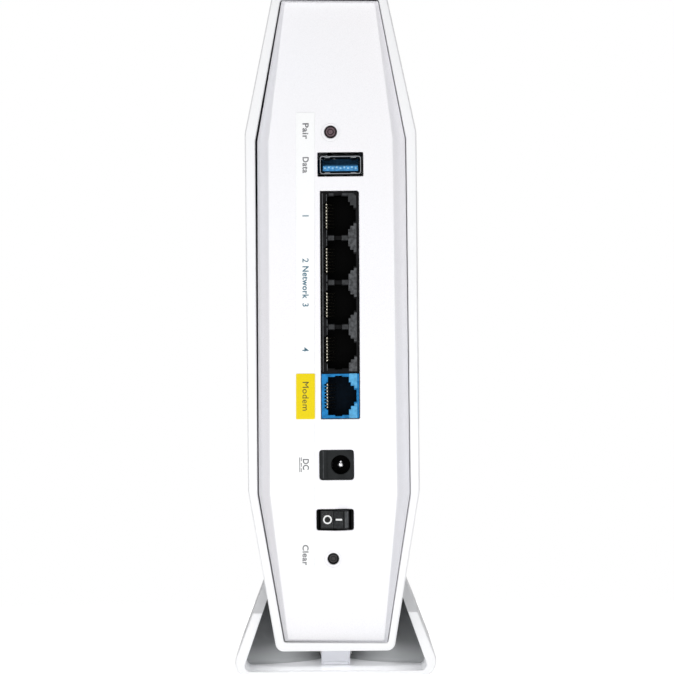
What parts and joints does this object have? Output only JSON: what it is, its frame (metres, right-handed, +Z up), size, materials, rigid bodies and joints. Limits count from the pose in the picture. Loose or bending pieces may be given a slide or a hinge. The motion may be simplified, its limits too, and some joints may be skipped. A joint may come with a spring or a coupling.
{
  "type": "wireless router",
  "caption": "Upright faceted white router: open-backed sleeve on a winged stand, recessed port panel with network jacks, data port, power inlet, rocker switch and push buttons.",
  "frame": {"origin": "on the table, at the bottom centre of the object's box, under the middle of the stand", "axes": "+Z up, -Y out of the port side, +X to the right as the port side is looked at"},
  "size_m": [0.0652, 0.19, 0.2192],
  "materials": {
    "shell_white": "satin moulded",
    "panel_white": "satin moulded",
    "stand_white": "satin moulded",
    "tray_grey": "moulded",
    "board_green": "solder mask",
    "jack_black": "moulded",
    "jack_blue": "moulded",
    "tongue_blue": "moulded",
    "inlet_black": "moulded",
    "button_brown": "moulded",
    "label_white": "printed film",
    "label_yellow": "printed film",
    "foot_rubber": "matte",
    "pad_grey": "soft",
    "clear_pipe": "clear",
    "lead_black": "sleeved",
    "component_black": "moulded",
    "steel": "pressed",
    "sink_aluminium": "extruded",
    "contact_gold": "plated"
  },
  "bodies": {
    "root": {"outer_shell": "shell_white", "rear_panel": "panel_white", "stand": "stand_white", "rear_post": "stand_white", "front_post": "stand_white", "chassis_tray": "tray_grey", "main_board": "board_green", "lan_jack_block": "jack_black", "wan_jack": "jack_blue", "usb_tongue": "tongue_blue", "dc_jack_body": "inlet_black", "switch_body": "inlet_black", "port_label": "label_white", "wan_label": "label_yellow", "foot_1": "foot_rubber", "foot_2": "foot_rubber", "foot_3": "foot_rubber", "foot_4": "foot_rubber", "thermal_pad": "pad_grey", "back_thermal_pad": "pad_grey", "light_pipe": "clear_pipe", "status_led": "clear_pipe", "antenna_lead_front_low": "lead_black", "antenna_lead_front_high": "lead_black", "antenna_lead_left_low": "lead_black", "antenna_lead_left_high": "lead_black", "pair_tact_switch": "component_black", "reset_tact_switch": "component_black", "network_transformer_1": "component_black", "network_transformer_2": "component_black", "power_inductor": "component_black", "power_capacitor": "component_black", "usb_shell": "steel", "dc_jack_pin": "steel", "dc_jack_spring": "steel", "processor_shield": "steel", "radio_shield_low": "steel", "radio_shield_high": "steel", "stand_screw_rear": "steel", "stand_screw_front": "steel", "board_screw_1": "steel", "board_screw_2": "steel", "board_screw_3": "steel", "board_screw_4": "steel", "heat_sink": "sink_aluminium", "back_heat_sink": "sink_aluminium", "lan_contacts_1": "contact_gold", "lan_contacts_2": "contact_gold", "lan_contacts_3": "contact_gold", "lan_contacts_4": "contact_gold", "wan_contacts": "contact_gold", "antenna_front_low": "contact_gold", "antenna_front_high": "contact_gold", "antenna_left_low": "contact_gold", "antenna_left_high": "contact_gold"},
    "rocker": {"switch_rocker": "inlet_black"},
    "pair_button": {"pair_button": "button_brown", "pair_plunger": "component_black"},
    "reset_button": {"reset_button": "button_brown", "reset_plunger": "component_black"}
  },
  "joints": [
    {"name": "power_rocker_tilt", "type": "hinge", "parent": "root", "child": "rocker", "pos_m": [0.0002, -0.091, 0.0528], "axis": [0, 0, 1], "range_deg": [0, 30]},
    {"name": "pair_button_press", "type": "slide", "parent": "root", "child": "pair_button", "axis": [0, 1, 0], "range_m": [0, 0.0006], "stiffness_N_per_m": 1500},
    {"name": "reset_button_press", "type": "slide", "parent": "root", "child": "reset_button", "axis": [0, 1, 0], "range_m": [0, 0.0005], "stiffness_N_per_m": 1500}
  ]
}
